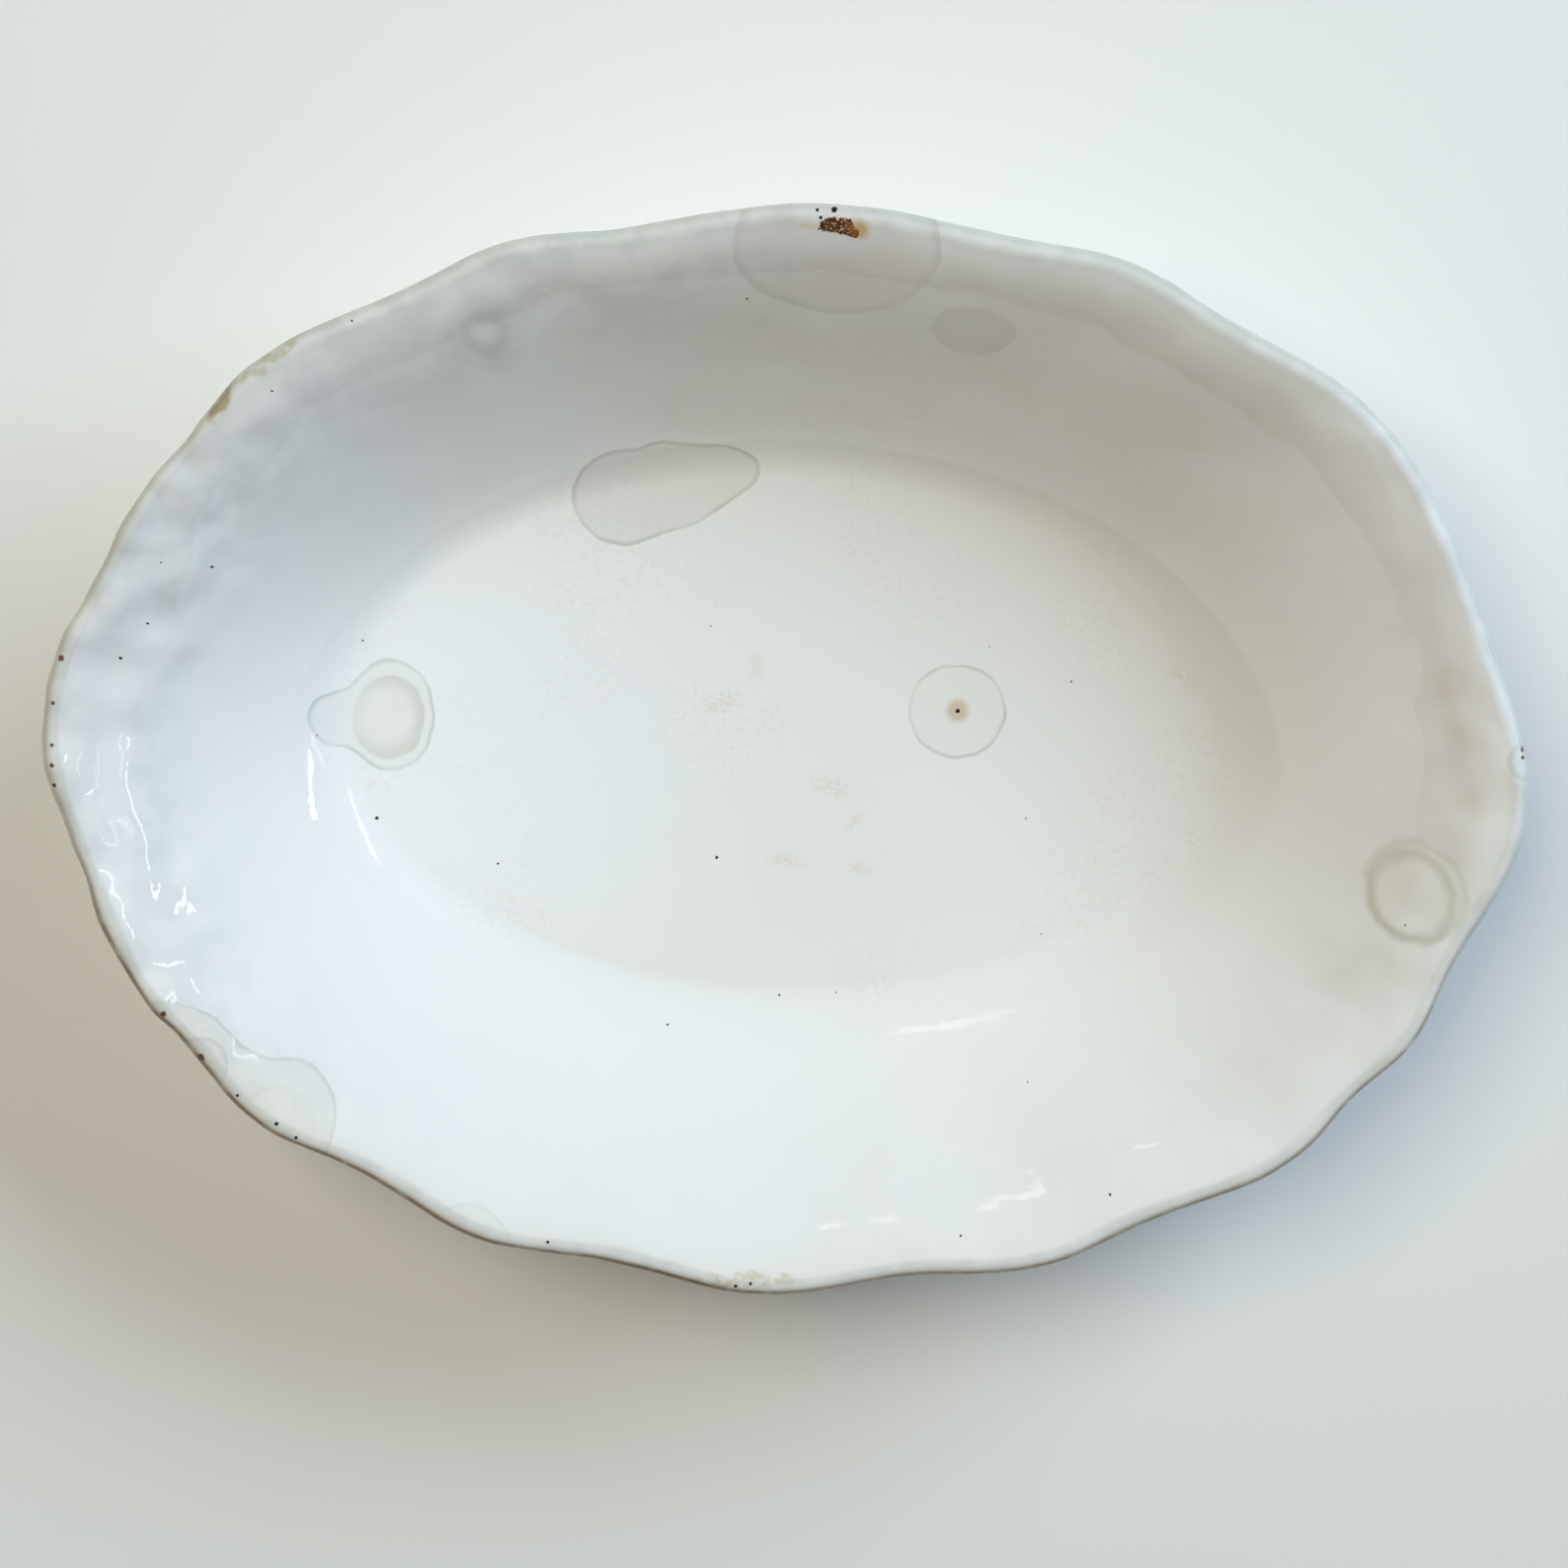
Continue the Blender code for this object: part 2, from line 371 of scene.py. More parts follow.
class Shader:
    """A material and short forms for its nodes. A value is a number, a vector or another node's socket.
    Places and sizes are in millimetres, and the plan is the place without its height."""

    def __init__(self, name):
        self.material = bpy.data.materials.new(name)
        self.material.use_nodes = True
        self.tree = self.material.node_tree
        self.surface = self.tree.nodes["Principled BSDF"]
        self.place = self.scale(self.node("ShaderNodeTexCoord").outputs["Object"], 1 / MM)
        self.plan = self.vector("MULTIPLY", self.place, (1, 1, 0))

    def feed(self, socket, value):
        if isinstance(value, bpy.types.NodeSocket):
            self.tree.links.new(value, socket)
        else:
            socket.default_value = value

    def node(self, kind, *values, **settings):
        made = self.tree.nodes.new(kind)
        for setting, value in settings.items():
            setattr(made, setting, value)
        for socket, value in zip(made.inputs, values):
            self.feed(socket, value)
        return made

    def math(self, operation, *values):
        return self.node("ShaderNodeMath", *values, operation=operation).outputs[0]

    def vector(self, operation, *values):
        made = self.node("ShaderNodeVectorMath", *values, operation=operation)
        is_number = operation in ("LENGTH", "DISTANCE", "DOT_PRODUCT")
        return made.outputs["Value" if is_number else "Vector"]

    def scale(self, vector, factor):
        made = self.node("ShaderNodeVectorMath", vector, operation="SCALE")
        self.feed(made.inputs["Scale"], factor)
        return made.outputs["Vector"]

    def product(self, first, *others):
        for other in others:
            first = self.math("MULTIPLY", first, other)
        return first

    def ease(self, value, start, end, low=0.0, high=1.0):
        """Turns value smoothly from low to high as it goes from start to end, which may be the lower one."""
        settings = {"interpolation_type": "SMOOTHSTEP"}
        return self.node("ShaderNodeMapRange", value, start, end, low, high, **settings).outputs[0]

    def attribute(self, name):
        return self.node("ShaderNodeAttribute", attribute_name=name).outputs["Fac"]

    def noise_node(self, place, size, seed):
        made = self.node("ShaderNodeTexNoise", self.vector("ADD", place, (seed, seed, seed)))
        made.inputs["Scale"].default_value = 1 / size
        return made

    def noise(self, size, detail=2.0, seed=0.0):
        """Smooth noise from 0 to 1, around 0.5, with patches about this many millimetres across."""
        made = self.noise_node(self.place, size, seed)
        made.inputs["Detail"].default_value = detail
        return made.outputs["Fac"]

    def patches(self, size, detail, seed, start, end, low=0.0):
        """Noise with its contrast raised: low where it is below start, and 1 where it is above end."""
        return self.ease(self.noise(size, detail, seed), start, end, low, 1.0)

    def wandering(self, size, reach, seed=0.0):
        """The place on the plan, pushed about by noise by up to about this many millimetres."""
        made = self.noise_node(self.plan, size, seed)
        push = self.vector("SUBTRACT", made.outputs["Color"], (0.5, 0.5, 0.5))
        moved = self.vector("ADD", self.plan, self.scale(push, 2 * reach))
        return self.vector("MULTIPLY", moved, (1, 1, 0))

    def oval(self, place, x, y, half_length, half_width, turn=0.0):
        """Millimetres outside an oval on the plan, below zero inside it."""
        made = self.node("ShaderNodeMapping", place, vector_type="TEXTURE")
        made.inputs["Location"].default_value = (x, y, 0)
        made.inputs["Rotation"].default_value = (0, 0, math.radians(turn))
        made.inputs["Scale"].default_value = (half_length, half_width, 1)
        beyond = self.math("SUBTRACT", self.vector("LENGTH", made.outputs["Vector"]), 1)
        return self.product(beyond, (half_length + half_width) / 2)

    def blob(self, place, ovals, softness):
        """Several ovals that run together softly."""
        distances = [self.oval(place, *oval) for oval in ovals]
        joined = distances[0]
        for distance in distances[1:]:
            joined = self.math("SMOOTH_MIN", joined, distance, softness)
        return joined

    def towards(self, degrees, spread, fade):
        """1 within spread degrees of a direction from the middle, falling to 0 over fade degrees more."""
        angle = math.radians(degrees)
        direction = (math.cos(angle), math.sin(angle), 0)
        facing = self.vector("DOT_PRODUCT", self.vector("NORMALIZE", self.plan), direction)
        return self.ease(facing, math.cos(math.radians(spread + fade)), math.cos(math.radians(spread)))

    def mix(self, colour, other, shares, **settings):
        """A colour mix, whose first socket is its factor and whose sockets 6 and 7 are its two colours."""
        made = self.node("ShaderNodeMix", data_type="RGBA", **settings)
        factor, first, second = made.inputs[0], made.inputs[6], made.inputs[7]
        self.feed(factor, self.product(*shares))
        self.feed(first, colour)
        self.feed(second, other)
        return made.outputs[2]

    def stain(self, colour, tint, *shares):
        """The colour multiplied by a tint, where every share is 1."""
        return self.mix(colour, (*tint, 1.0), shares, blend_type="MULTIPLY")

    def cover(self, colour, over, *shares):
        """The colour hidden under another one, where every share is 1."""
        return self.mix(colour, over, shares)

    def bump(self, height, depth):
        """Dents the surface: height runs from 0 to 1 and stands for this many metres."""
        made = self.node("ShaderNodeBump")
        made.inputs["Distance"].default_value = depth
        self.feed(made.inputs["Height"], height)
        self.feed(self.surface.inputs["Normal"], made.outputs["Normal"])


GLAZE = srgb(0.935, 0.934, 0.924)
# Painted light: a paler white that stands for light falling high on the right wall.
PAINTED_LIGHT_GLAZE = srgb(0.975, 0.978, 0.985)
# Painted light: a cooler white that stands for cool light falling on the left of the floor.
PAINTED_COOL_LIGHT_GLAZE = srgb(0.957, 0.966, 0.972)
BARE_CLAY = srgb(0.78, 0.75, 0.68)
SPECK_BLACK = srgb(0.17, 0.15, 0.13)
SPECK_BROWN = srgb(0.45, 0.34, 0.28)

# What the glaze's colour is multiplied by where something marks it.
DUST_TINT = (0.965, 0.945, 0.91)
PINHOLE_TINT = (0.80, 0.68, 0.54)
RUST_RUN_TINT = (0.78, 0.57, 0.32)
RUST_YELLOW_TINT = (0.93, 0.90, 0.72)
COOL_TINT = (0.925, 0.93, 0.95)
WARM_TINT = (0.96, 0.92, 0.86)
BLOOM_TINT = (0.955, 0.915, 0.86)
SMUDGE_TINT = (0.93, 0.88, 0.81)
CLOUDY_LIP_TINT = (0.83, 0.84, 0.815)
# Partly painted shade: the outer side of the lip, greenish grey where the glaze runs thin and darkened as
# shade where it sees less light.
THIN_GLAZE_AND_SHADE_TINT = (0.80, 0.81, 0.76)
GRIMY_TINT = (0.50, 0.36, 0.28)
REDDISH_TINT = (0.70, 0.58, 0.50)
CHAFED_TINT = (0.84, 0.78, 0.66)
WORN_TINT = (0.62, 0.52, 0.38)
FOOT_DIRT_TINT = (0.72, 0.66, 0.58)
RING_FILL_TINT = (0.985, 0.98, 0.95)

# Ovals on the plan, in millimetres: x, y, half-length, half-width and, if it is turned, the degrees.
# Painted light: the oval where the left of the floor is painted cooler, as if cool light fell there.
PAINTED_COOL_LIGHT_OVAL = (-62.0, -4.0, 42.0, 36.0)
PINHOLE_SPOT = (31.4, 4.8, 2.0, 2.0)
RUST_RUN = (9.9, 89.9, 1.3, 1.2)
RUST_YELLOW = (1.4, 90.2, 1.6, 0.5)
# A worn spot on the lip that shows the clay.
WORN_SPOT = (-96.4, 58.3, 3.2, 1.2, 52.0)
# Stretches of the lip that are chafed and dirty.
CHAFED_PLACES = ((-89.0, 65.8, 8.0, 1.5, 38), (-5.0, -91.2, 9.0, 1.3, 2), (121.0, 29.0, 1.2, 5.0, 12))
# Soft orange blooms under the glaze near the right end.
ORANGE_BLOOMS = ((115.2, 7.8, 1.7, 3.0, 15), (118.4, -3.2, 1.0, 1.6, 0), (112.6, 15.0, 1.4, 3.0, 10))
# Faint tan smudges on the floor and the lower wall.
TAN_SMUDGES = (
    (71.6, 12.8, 1.4, 0.7, -30), (73.6, 11.2, 0.8, 0.5, -60), (-12.0, 5.0, 3.0, 1.6, 20),
    (0.5, -24.0, 2.4, 1.3, 0), (13.0, -16.0, 1.6, 0.8, 60), (14.5, -25.0, 1.5, 0.7, 0),
    (-6.0, 12.0, 2.2, 1.2, 80), (9.0, -10.0, 3.4, 1.5, -20),
)

# Stains that crept under the glaze: their ovals, how softly these run together, how far the dark line round
# them fades inwards, and the tints of the line and of the inside.
STAINS = {
    "long_drop": (
        ((-29.8, 42.3, 9.9, 8.7, 10), (-23.2, 44.3, 12.2, 8.1, 12), (-15.5, 46.6, 9.6, 5.2, 10)),
        3.0, 1.0, (0.74, 0.77, 0.71), (0.91, 0.905, 0.875),
    ),
    "keyhole": (
        ((-72.7, 1.3, 8.2, 10.2, 0), (-80.7, 0.7, 6.6, 5.0, 0)),
        4.0, 0.7, (0.72, 0.77, 0.73), (0.95, 0.95, 0.935),
    ),
    "keyhole_ring": (((-72.8, 0.9, 6.5, 7.6, 0),), 1.0, 3.4, (0.845, 0.84, 0.79), (0.985, 0.98, 0.965)),
    "pinhole_circle": (((31.4, 4.8, 8.7, 8.7, 0),), 1.0, 0.7, (0.72, 0.73, 0.71), (0.98, 0.982, 0.965)),
    "rim_patch": (
        ((-0.5, 87.5, 10.5, 9.6, 0), (6.5, 86.5, 13.5, 10.4, 0), (13.0, 87.5, 10.5, 10.4, 0)),
        3.0, 1.8, (0.88, 0.88, 0.86), (0.97, 0.955, 0.955),
    ),
    "faint_patch": (((30.2, 73.8, 7.1, 3.9, -6),), 1.0, 2.5, (0.965, 0.96, 0.95), (0.925, 0.92, 0.89)),
    "corner_lobes": (
        ((-102.0, -52.5, 11.0, 6.5, -35), (-93.0, -58.8, 8.0, 5.6, -35), (-86.8, -65.4, 10.2, 10.4, 0)),
        2.0, 0.7, (0.80, 0.83, 0.79), (0.95, 0.945, 0.92),
    ),
    "corner_arc": (((-99.8, -55.2, 4.6, 4.6, 0),), 1.0, 0.6, (0.88, 0.90, 0.88), (0.98, 0.98, 0.97)),
    "corner_core": (((-87.0, -66.5, 6.6, 7.4, 0),), 1.0, 1.2, (0.95, 0.955, 0.90), (1.0, 0.995, 0.98)),
    "lip_half_ring": (((126.4, 3.6, 3.4, 3.4, 0),), 1.0, 1.2, (0.88, 0.88, 0.86), (0.98, 0.98, 0.97)),
    "low_arc": (((-53.5, -87.0, 8.0, 8.0, 0),), 1.0, 0.7, (0.93, 0.94, 0.93), (0.985, 0.985, 0.975)),
}
STAIN_EDGE = 0.35

# Soft rings under the glaze: the oval that each follows, how far it fades to either side, and its tint. They
# are a thick ring near the right end, its fainter echo, and a small fuzzy ring and its halo at the top.
THICK_RING = (109.4, -21.4, 6.1, 7.0)
RINGS = (
    (THICK_RING, 1.8, (0.83, 0.83, 0.77)),
    ((110.1, -20.4, 7.3, 8.1), 1.1, (0.89, 0.89, 0.85)),
    ((-52.8, 71.3, 3.0, 3.0), 2.2, (0.86, 0.855, 0.83)),
    ((-52.8, 71.3, 5.0, 5.0), 3.2, (0.94, 0.935, 0.92)),
)

# Specks in and on the glaze: x, y and radius. They are drawn at a share of the radius, because their ragged
# edges make them look larger.
BLACK_SPECKS = (
    (-74.9, -17.9, 0.55), (-12.1, -23.6, 0.5), (-52.5, -25.9, 0.4), (-20.4, -54.3, 0.3), (0.1, -49.1, 0.3),
    (52.0, 10.8, 0.32), (-8.7, 78.1, 0.28), (-100.0, 29.9, 0.4), (31.4, 4.8, 0.68), (-77.7, 14.9, 0.3),
    (-107.3, 31.1, 0.25), (-110.1, 20.3, 0.35), (-114.4, 14.4, 0.4), (-85.6, -2.5, 0.25),
    (32.8, -82.8, 0.35), (58.6, -74.7, 0.35), (-14.2, 19.2, 0.25), (10.6, -48.3, 0.25), (48.4, -36.3, 0.25),
    (45.3, -60.2, 0.25), (-87.9, 60.6, 0.3), (-74.5, 72.6, 0.3), (-93.3, -60.5, 0.4), (-86.5, -65.3, 0.6),
    (-83.1, -67.7, 0.5), (-39.2, -85.3, 0.45), (-6.3, -92.3, 0.5), (-3.7, -91.7, 0.45), (2.7, 92.9, 0.45),
    (5.5, 93.1, 0.8), (3.3, 91.7, 0.45), (108.2, -26.2, 0.22),
)
BROWN_SPECKS = (
    (-123.3, 14.7, 0.9), (-124.7, 7.1, 0.6), (-124.9, -0.2, 0.5), (-124.9, -3.6, 0.6), (-124.6, -7.0, 0.6),
    (-117.6, -33.0, 0.6), (-106.2, -46.5, 0.9), (-99.7, -54.0, 1.1), (125.5, 5.8, 0.8), (125.4, 4.4, 0.6),
    (36.8, 16.8, 0.25), (44.7, -14.8, 0.25),
)
SPECK_SHARE = 0.66
# Where the three points that held the dish in the kiln left bare clay on its underside.
STILT_MARKS = ((52.0, 6.0, 1.6), (-30.0, 24.0, 1.4), (-26.0, -25.0, 1.5))

GLOSSIEST, DULLEST = 0.035, 0.10
BARE_CLAY_ADDS = 0.55
FINE_PEEL_SHARE = 0.2
PEEL_DEPTH = 0.03 * MM


class Glaze(Shader):
    """The dish's own material, which can tell from the mesh's attribute where on the section a point is."""

    def __init__(self):
        super().__init__("white_glaze")
        self.section = self.attribute(SECTION)
        self.inside = self.zone(LIP_ZONE + 0.72, LIP_ZONE + 0.62)
        self.on_floor = self.zone(WALL_ZONE + 0.3, WALL_ZONE)
        self.bare_foot = self.band(FOOT_ZONE + 0.4, FOOT_ZONE + 0.47, FOOT_ZONE + 0.82, FOOT_ZONE + 0.9)

    def zone(self, start, end):
        """Turns smoothly from 0 to 1 as the place on the section goes from start to end, either way."""
        return self.ease(self.section, start, end)

    def band(self, start, full, fading, end):
        """1 from full to fading along the section, and 0 before start and after end."""
        return self.product(self.zone(start, full), self.zone(end, fading))


def base_colour(glaze):
    """White, with painted light: a little paler high on the right wall and cooler on the left of the floor,
    as if more light fell there.
    """
    high = glaze.zone(WALL_ZONE + 0.3, WALL_ZONE + 0.7)
    # Painted light: paler high on the right wall.
    colour = glaze.cover(GLAZE, PAINTED_LIGHT_GLAZE, high, glaze.inside, glaze.towards(16, 10, 14))
    # Painted cool light on the left of the floor.
    painted_cool_light = glaze.ease(glaze.oval(glaze.plan, *PAINTED_COOL_LIGHT_OVAL), 34.0, -30.0)
    return glaze.cover(colour, PAINTED_COOL_LIGHT_GLAZE, painted_cool_light, glaze.on_floor)


def draw_stains(glaze, colour):
    """The stains with dark outlines, whose strength varies."""
    wandering = glaze.wandering(7.0, 0.8)
    uneven = glaze.patches(14.0, 2.0, seed=40.0, start=0.36, end=0.6, low=0.4)
    for ovals, softness, line_width, line_tint, fill_tint in STAINS.values():
        distance = glaze.blob(wandering, ovals, softness)
        within = glaze.ease(distance, STAIN_EDGE, -STAIN_EDGE)
        colour = glaze.stain(colour, fill_tint, within, glaze.inside)
        outer_side, inner_side = glaze.ease(distance, STAIN_EDGE, 0), glaze.ease(distance, -line_width, 0)
        colour = glaze.stain(colour, line_tint, outer_side, inner_side, glaze.inside, uneven)
    return colour


def draw_rings(glaze, colour):
    """The soft rings, and the yellowish glaze inside the thick one."""
    wandering = glaze.wandering(4.0, 1.1, seed=5.0)
    within = glaze.ease(glaze.oval(wandering, *THICK_RING), 1.0, -1.5)
    colour = glaze.stain(colour, RING_FILL_TINT, within, glaze.inside)
    for oval, reach, tint in RINGS:
        distance = glaze.math("ABSOLUTE", glaze.oval(wandering, *oval))
        colour = glaze.stain(colour, tint, glaze.ease(distance, reach, 0), glaze.inside)
    return colour


def draw_dust(glaze, colour):
    """Tan dust in the scratches of the floor, in loose patches, and a tan spot round the pinhole."""
    patches = glaze.patches(26.0, 2.0, seed=31.0, start=0.42, end=0.62)
    grain = glaze.patches(0.9, 3.0, seed=2.0, start=0.5, end=0.66)
    colour = glaze.stain(colour, DUST_TINT, patches, grain, glaze.on_floor)
    spot = glaze.ease(glaze.oval(glaze.wandering(3.0, 0.3), *PINHOLE_SPOT), 0.8, -0.9)
    return glaze.stain(colour, PINHOLE_TINT, spot, glaze.inside)


def draw_rust_run(glaze, colour):
    """Rust that has run out of the crust: orange on its right, and a faint yellow on its left."""
    wandering = glaze.wandering(1.6, 0.5, seed=17.0)
    orange = glaze.ease(glaze.oval(wandering, *RUST_RUN), 1.2, -0.9)
    colour = glaze.stain(colour, RUST_RUN_TINT, orange, glaze.inside)
    yellow = glaze.ease(glaze.oval(wandering, *RUST_YELLOW), 0.8, -0.6)
    return glaze.stain(colour, RUST_YELLOW_TINT, yellow, glaze.inside)


def draw_mottling(glaze, colour):
    """The top of the walls: cool at the upper left where the glaze lies thick, warm at the upper right."""
    thick = glaze.patches(7.0, 4.0, seed=50.0, start=0.42, end=0.62)
    high = glaze.zone(WALL_ZONE + 0.55, WALL_ZONE + 0.85)
    colour = glaze.stain(colour, COOL_TINT, thick, high, glaze.inside, glaze.towards(155, 45, 30))
    stained = glaze.patches(16.0, 3.0, seed=60.0, start=0.36, end=0.62, low=0.45)
    half_way_up = glaze.band(WALL_ZONE + 0.05, WALL_ZONE + 0.35, WALL_ZONE + 0.55, LIP_ZONE)
    return glaze.stain(colour, WARM_TINT, stained, half_way_up, glaze.towards(68, 30, 32))


def draw_blooms(glaze, colour):
    blooms = glaze.blob(glaze.wandering(3.0, 1.5, seed=23.0), ORANGE_BLOOMS, 0.5)
    return glaze.stain(colour, BLOOM_TINT, glaze.ease(blooms, 2.6, -2.6), glaze.inside)


def draw_lip(glaze, colour):
    """A cloudy lip, and a greenish grey edge on the outer side of the lip, where the glaze runs thin and
    where painted shade darkens the side that sees less light.
    """
    cloudy = glaze.patches(5.0, 4.0, seed=70.0, start=0.36, end=0.62, low=0.55)
    lip = glaze.band(WALL_ZONE + 0.96, LIP_ZONE + 0.12, LIP_ZONE + 0.9, OUTER_ZONE + 0.2)
    colour = glaze.stain(colour, CLOUDY_LIP_TINT, lip, cloudy)
    # Thin glaze and painted shade on the outer side of the lip.
    edge = glaze.band(LIP_ZONE + 0.22, LIP_ZONE + 0.5, OUTER_ZONE, OUTER_ZONE + 0.2)
    return glaze.stain(colour, THIN_GLAZE_AND_SHADE_TINT, edge)


def draw_edge_line(glaze, colour):
    """A broken line along the outermost edge: brown at the lower left, and reddish at the bottom."""
    broken = glaze.patches(5.0, 4.0, seed=14.0, start=0.34, end=0.5, low=0.35)
    outermost = glaze.band(LIP_ZONE + 0.3, LIP_ZONE + 0.44, OUTER_ZONE, OUTER_ZONE + 0.12)
    line = glaze.product(outermost, broken)
    colour = glaze.stain(colour, GRIMY_TINT, line, glaze.towards(229, 31, 12))
    return glaze.stain(colour, REDDISH_TINT, line, glaze.towards(300, 38, 14))


def draw_wear(glaze, colour):
    """Chafed stretches of the lip, and the spot where the glaze has worn away."""
    wandering = glaze.wandering(3.0, 1.4, seed=4.0)
    patchy = glaze.patches(2.2, 4.0, seed=15.0, start=0.38, end=0.58)
    chafed = glaze.ease(glaze.blob(wandering, CHAFED_PLACES, 0.5), 1.2, -1.0)
    colour = glaze.stain(colour, CHAFED_TINT, chafed, patchy)
    worn = glaze.ease(glaze.oval(wandering, *WORN_SPOT), 0.9, -0.9)
    return glaze.stain(colour, WORN_TINT, worn, glaze.inside)


def draw_smudges(glaze, colour):
    """Tan dirt in small scratches, broken up by fine noise."""
    nearest = glaze.blob(glaze.wandering(1.2, 0.8, seed=12.0), TAN_SMUDGES, 0.5)
    grain = glaze.patches(0.7, 3.0, seed=13.0, start=0.42, end=0.6)
    return glaze.stain(colour, SMUDGE_TINT, glaze.ease(nearest, 1.8, -1.4), grain, glaze.inside)


def draw_specks(glaze, colour, specks, speck_colour, share):
    """Small spots with ragged edges, where share is 1."""
    ragged = glaze.wandering(0.6, 0.25, seed=9.0)
    nearest = None
    for x, y, radius in specks:
        distance = glaze.vector("DISTANCE", ragged, (x, y, 0))
        distance = glaze.math("DIVIDE", distance, radius * SPECK_SHARE)
        nearest = distance if nearest is None else glaze.math("MINIMUM", nearest, distance)
    return glaze.cover(colour, speck_colour, glaze.ease(nearest, 1.15, 0.7), share)


def draw_all_specks(glaze, colour):
    colour = draw_specks(glaze, colour, BLACK_SPECKS, SPECK_BLACK, glaze.inside)
    return draw_specks(glaze, colour, BROWN_SPECKS, SPECK_BROWN, glaze.inside)


def draw_foot(glaze, colour):
    """The stilt marks in the recess, and the foot's standing face, which is bare and holds some dirt."""
    recess = glaze.zone(RECESS_ZONE - 0.02, RECESS_ZONE + 0.02)
    colour = draw_specks(glaze, colour, STILT_MARKS, BARE_CLAY, recess)
    dirt = glaze.patches(1.6, 4.0, seed=8.0, start=0.45, end=0.7)
    return glaze.cover(colour, glaze.stain(BARE_CLAY, FOOT_DIRT_TINT, dirt), glaze.bare_foot)


def set_gloss(glaze):
    """A gloss that varies a little, a dull foot, and the fine unevenness of fired glaze."""
    glossy = glaze.ease(glaze.noise(9.0, 3.0, seed=21.0), 0.3, 0.75, GLOSSIEST, DULLEST)
    roughness = glaze.math("ADD", glossy, glaze.product(glaze.bare_foot, BARE_CLAY_ADDS))
    glaze.feed(glaze.surface.inputs["Roughness"], roughness)
    peel = glaze.math("ADD", glaze.noise(2.6, 1.0), glaze.product(glaze.noise(0.8, 2.0), FINE_PEEL_SHARE))
    glaze.bump(peel, PEEL_DEPTH)


def white_glaze():
    glaze = Glaze()
    colour = base_colour(glaze)
    for draw in (
        draw_stains, draw_rings, draw_dust, draw_rust_run, draw_mottling, draw_blooms, draw_lip,
        draw_edge_line, draw_wear, draw_smudges, draw_all_specks, draw_foot,
    ):
        colour = draw(glaze, colour)
    glaze.feed(glaze.surface.inputs["Base Color"], colour)
    set_gloss(glaze)
    return glaze.material


# The crust's outline on the plan, in millimetres: a straight lower edge and a ragged upper one.
CRUST_OUTLINE = (
    (2.7, 89.7), (3.2, 90.9), (4.1, 91.7), (5.4, 92.0), (8.2, 91.8), (8.8, 90.9), (9.9, 89.6), (9.7, 88.4),
    (7.6, 88.9),
)
CRUST_STEP = 0.16 * MM
CRUST_DEPTH = 0.34 * MM
CRUST_ROOT = 0.12 * MM
CRUST_GRAIN = 0.55 * MM
RAGGED_SHARE = 0.35
# The crust's height as a share of its depth: its middle, what coarse and fine grains add, and the least.
CRUST_MIDDLE, COARSE_GRAINS, FINE_GRAINS, CRUST_LEAST = 0.55, 0.45, 0.3, 0.1
ABOVE_RIM = 10 * MM


def inside_by(x, y, outline):
    """How far a point lies inside a closed outline, below zero outside it."""
    nearest, crossings = math.inf, 0
    for (ax, ay), (bx, by) in zip(outline, outline[1:] + outline[:1]):
        along = ((x - ax) * (bx - ax) + (y - ay) * (by - ay)) / ((bx - ax) ** 2 + (by - ay) ** 2)
        along = min(max(along, 0.0), 1.0)
        nearest = min(nearest, math.hypot(x - between(ax, bx, along), y - between(ay, by, along)))
        if (ay > y) != (by > y) and x < between(ax, bx, (y - ay) / (by - ay)):
            crossings += 1
    return nearest if crossings % 2 else -nearest


def crust_skin(mesh, dish):
    """The crust's upper and lower points, in two dictionaries by (column, row) on an even grid."""
    surface = BVHTree.FromObject(dish, bpy.context.evaluated_depsgraph_get())
    outline = tuple((x * MM, y * MM) for x, y in CRUST_OUTLINE)
    start_x, end_x = min(x for x, _ in outline), max(x for x, _ in outline)
    start_y, end_y = min(y for _, y in outline), max(y for _, y in outline)
    tops, roots = {}, {}
    for column in range(int((end_x - start_x) / CRUST_STEP) + 1):
        for row in range(int((end_y - start_y) / CRUST_STEP) + 1):
            x, y = start_x + column * CRUST_STEP, start_y + row * CRUST_STEP
            ragged = RAGGED_SHARE * CRUST_GRAIN * ripple(Vector((x, y, 0)), CRUST_GRAIN, 4.4)
            depth = inside_by(x, y, outline) + ragged
            if depth < 0:
                continue
            above = Vector((x, y, DISH_HIGH.z + ABOVE_RIM))
            place, normal, _, _ = surface.ray_cast(above, Vector((0, 0, -1)))
            rough = CRUST_MIDDLE + COARSE_GRAINS * ripple(place, CRUST_GRAIN, 6.1)
            rough += FINE_GRAINS * ripple(place, CRUST_GRAIN / 3, 2.2)
            height = CRUST_DEPTH * max(rough, CRUST_LEAST) * smooth_step(depth, 0, CRUST_GRAIN)
            tops[column, row] = mesh.verts.new(place + normal * height)
            roots[column, row] = mesh.verts.new(place - normal * CRUST_ROOT)
    return tops, roots


def join_skin(mesh, tops, roots):
    """Faces over and under each whole square of the grid, and a wall between the two round the edge."""
    for column, row in tops:
        corners = [(column, row), (column + 1, row), (column + 1, row + 1), (column, row + 1)]
        if all(corner in tops for corner in corners):
            mesh.faces.new([tops[corner] for corner in corners])
            mesh.faces.new([roots[corner] for corner in corners[::-1]])
    partner = {tops[spot]: roots[spot] for spot in tops}
    for edge in [edge for edge in mesh.edges if edge.is_boundary and edge.verts[0] in partner]:
        loop = edge.link_loops[0]
        after, before = loop.link_loop_next.vert, loop.vert
        mesh.faces.new((after, before, partner[before], partner[after]))
    for vert in [vert for vert in mesh.verts if not vert.link_faces]:
        mesh.verts.remove(vert)


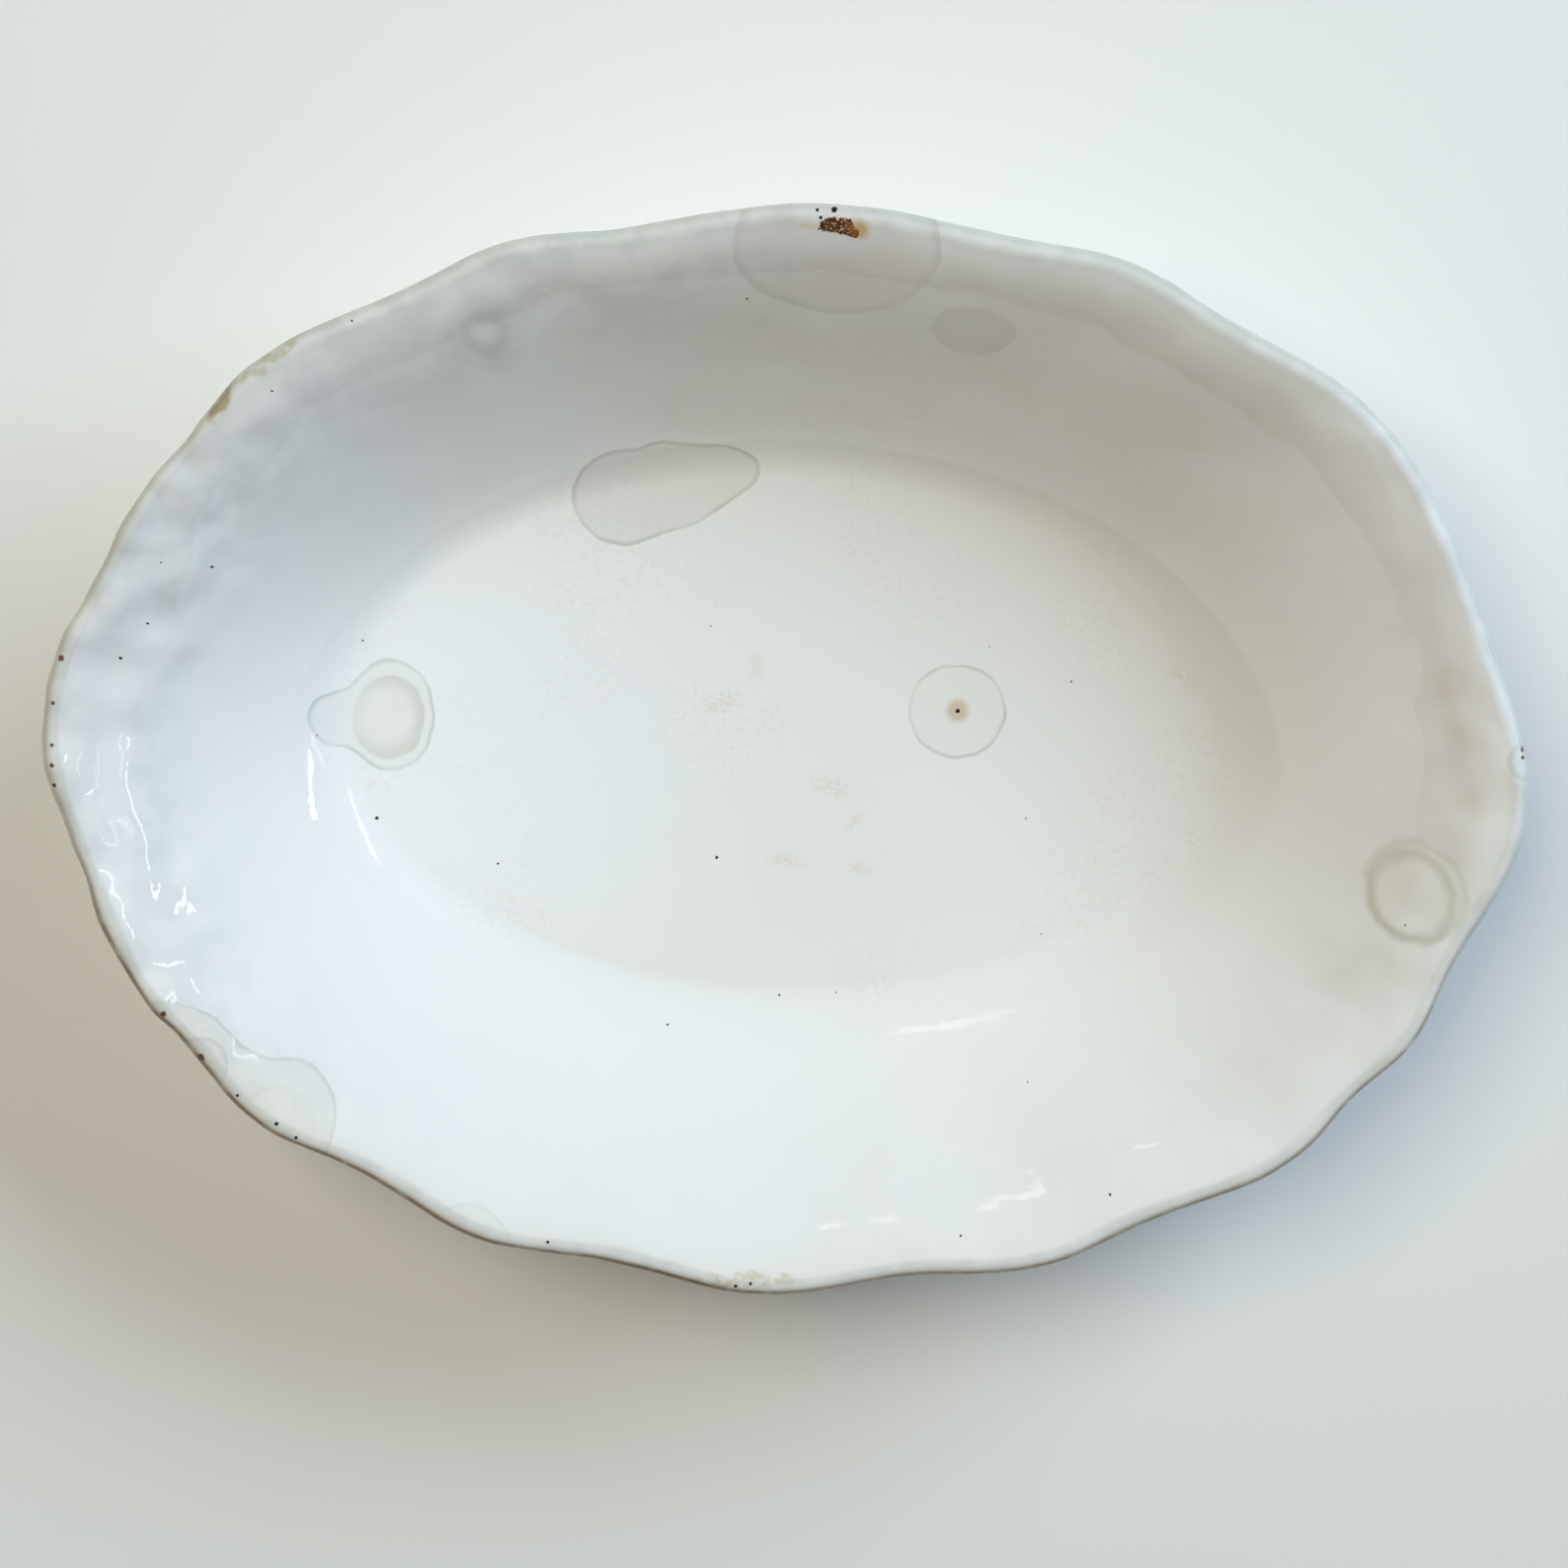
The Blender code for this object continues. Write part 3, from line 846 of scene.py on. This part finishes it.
def rust_crust(dish):
    """A patch of rust that has grown on the lip: a rough skin over the glaze, sunk slightly into it."""
    mesh = bmesh.new()
    tops, roots = crust_skin(mesh, dish)
    join_skin(mesh, tops, roots)
    return new_piece("rust_crust", mesh)


RUST_DARK = srgb(0.27, 0.15, 0.08)
RUST_LIGHT = srgb(0.60, 0.40, 0.26)
RUST_FLECKS = srgb(0.84, 0.70, 0.58)
RUST_ORANGE = srgb(0.66, 0.38, 0.12)
ORANGE_PART = (9.6, 89.6, 1.6, 1.6)
ORANGE_SHARE = 0.6
RUST_BUMP = 0.15 * MM


def rust():
    shader = Shader("rust")
    coarse = shader.noise(0.9, 3.0, seed=3.0)
    fine = shader.noise(0.35, 2.0, seed=6.0)
    colour = shader.cover(RUST_DARK, RUST_LIGHT, shader.ease(coarse, 0.46, 0.6))
    colour = shader.cover(colour, RUST_FLECKS, shader.ease(fine, 0.54, 0.66))
    orange = shader.ease(shader.oval(shader.plan, *ORANGE_PART), 0.8, -0.8)
    colour = shader.cover(colour, RUST_ORANGE, orange, ORANGE_SHARE)
    shader.feed(shader.surface.inputs["Base Color"], colour)
    shader.feed(shader.surface.inputs["Roughness"], shader.ease(fine, 0.3, 0.7, 0.6, 0.9))
    shader.bump(fine, RUST_BUMP)
    return shader.material


FLOOR_HALF_SIZE = 3.0
FLOOR_COLOUR = (0.88, 0.88, 0.86, 1.0)
FLOOR_ROUGHNESS = 0.7


def floor():
    data = bpy.data.meshes.new("floor")
    sides = ((-1, -1), (1, -1), (1, 1), (-1, 1))
    corners = [(x * FLOOR_HALF_SIZE, y * FLOOR_HALF_SIZE, 0) for x, y in sides]
    data.from_pydata(corners, [], [(0, 1, 2, 3)])
    material = bpy.data.materials.new("pale_floor")
    material.use_nodes = True
    surface = material.node_tree.nodes["Principled BSDF"]
    surface.inputs["Base Color"].default_value = FLOOR_COLOUR
    surface.inputs["Roughness"].default_value = FLOOR_ROUGHNESS
    data.materials.append(material)
    piece = bpy.data.objects.new("floor", data)
    bpy.context.scene.collection.objects.link(piece)


# Soft panels that light the clay, as (name, direction from +X, height above the floor in degrees, width and
# height of the panel as seen in degrees, watts, colour).
PANELS = (
    ("window", 40, 35, 40, 21, 32.0, (0.62, 0.80, 1.0)),
    ("overhead", 135, 65, 28, 28, 21.5, (1.0, 0.93, 0.76)),
)
# Small bright sources that show only as reflections in the glaze, as (name, where one end is seen, where the
# other end is seen, width in degrees, watts per square metre, colour). Places are (direction, height).
GLINTS = (
    ("window_edge", (14, 52), (39, 32), 2.2, 22.0, (0.95, 0.98, 1.0)),
    ("far_window", (99, 19), (110, 12), 3.0, 9.0, (1.0, 0.99, 0.95)),
    ("low_window_bar", (-3, 22), (7, 30), 1.5, 12.0, (0.93, 0.97, 1.0)),
    ("low_window_sill", (2, 20), (22, 12), 1.5, 50.0, (0.93, 0.97, 1.0)),
)
LIGHT_DISTANCE = 2.0
SURROUNDINGS = (0.06, 0.06, 0.06, 1.0)


def seen_at(azimuth, elevation):
    """The point in this direction, in degrees, at the lights' distance."""
    turn, up = math.radians(azimuth), math.radians(elevation)
    away = Vector((math.cos(turn) * math.cos(up), math.sin(turn) * math.cos(up), math.sin(up)))
    return away * LIGHT_DISTANCE


def panel(name, place, along, length, width, watts, colour):
    """A rectangular light that faces the dish, with its long side along the given direction."""
    data = bpy.data.lights.new(name, "AREA")
    data.shape = "RECTANGLE"
    data.size, data.size_y = length, width
    data.energy = watts
    data.color = colour
    facing = place.normalized()
    across = facing.cross(along).normalized()
    piece = bpy.data.objects.new(name, data)
    piece.matrix_world = Matrix((across.cross(facing), across, facing)).transposed().to_4x4()
    piece.location = place
    bpy.context.scene.collection.objects.link(piece)
    return piece


def wide(degrees):
    """How wide a light is that spans this angle, in metres."""
    return 2 * LIGHT_DISTANCE * math.tan(math.radians(degrees / 2))


def lights():
    for name, azimuth, elevation, length, width, watts, colour in PANELS:
        place = seen_at(azimuth, elevation)
        along = place.cross(Vector((0, 0, 1)))
        soft = panel(name, place, along, wide(length), wide(width), watts, colour)
        soft.visible_glossy = False
    for name, start, end, width, brightness, colour in GLINTS:
        first, last = seen_at(*start), seen_at(*end)
        length = (last - first).length
        place = (first + last).normalized() * LIGHT_DISTANCE
        watts = brightness * length * wide(width)
        glint = panel(name, place, last - first, length, wide(width), watts, colour)
        glint.visible_diffuse = False


def surroundings():
    world = bpy.data.worlds.new("surroundings")
    world.use_nodes = True
    world.node_tree.nodes["Background"].inputs["Color"].default_value = SURROUNDINGS
    bpy.context.scene.world = world


CAMERA_PLACE = Vector((-0.0023, 0.0729, 0.5815))
CAMERA_TURN = Euler((math.radians(-8.2), 0, math.radians(1.54)), "XYZ")
CAMERA_LENS_MM = 72.18
CAMERA_SENSOR_MM = 36.0


def camera():
    data = bpy.data.cameras.new("camera")
    data.lens = CAMERA_LENS_MM
    data.sensor_width = CAMERA_SENSOR_MM
    data.clip_start = 0.01
    eye = bpy.data.objects.new("camera", data)
    eye.location = CAMERA_PLACE
    eye.rotation_euler = CAMERA_TURN
    bpy.context.scene.collection.objects.link(eye)
    bpy.context.scene.camera = eye


def main():
    dish = dish_body()
    dish.data.materials.append(white_glaze())
    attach(dish, "root")
    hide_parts("dish_body")
    crust = rust_crust(dish)
    crust.data.materials.append(rust())
    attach(crust, "root")
    floor()
    lights()
    surroundings()
    camera()
    bpy.context.scene.view_settings.view_transform = "Standard"


main()
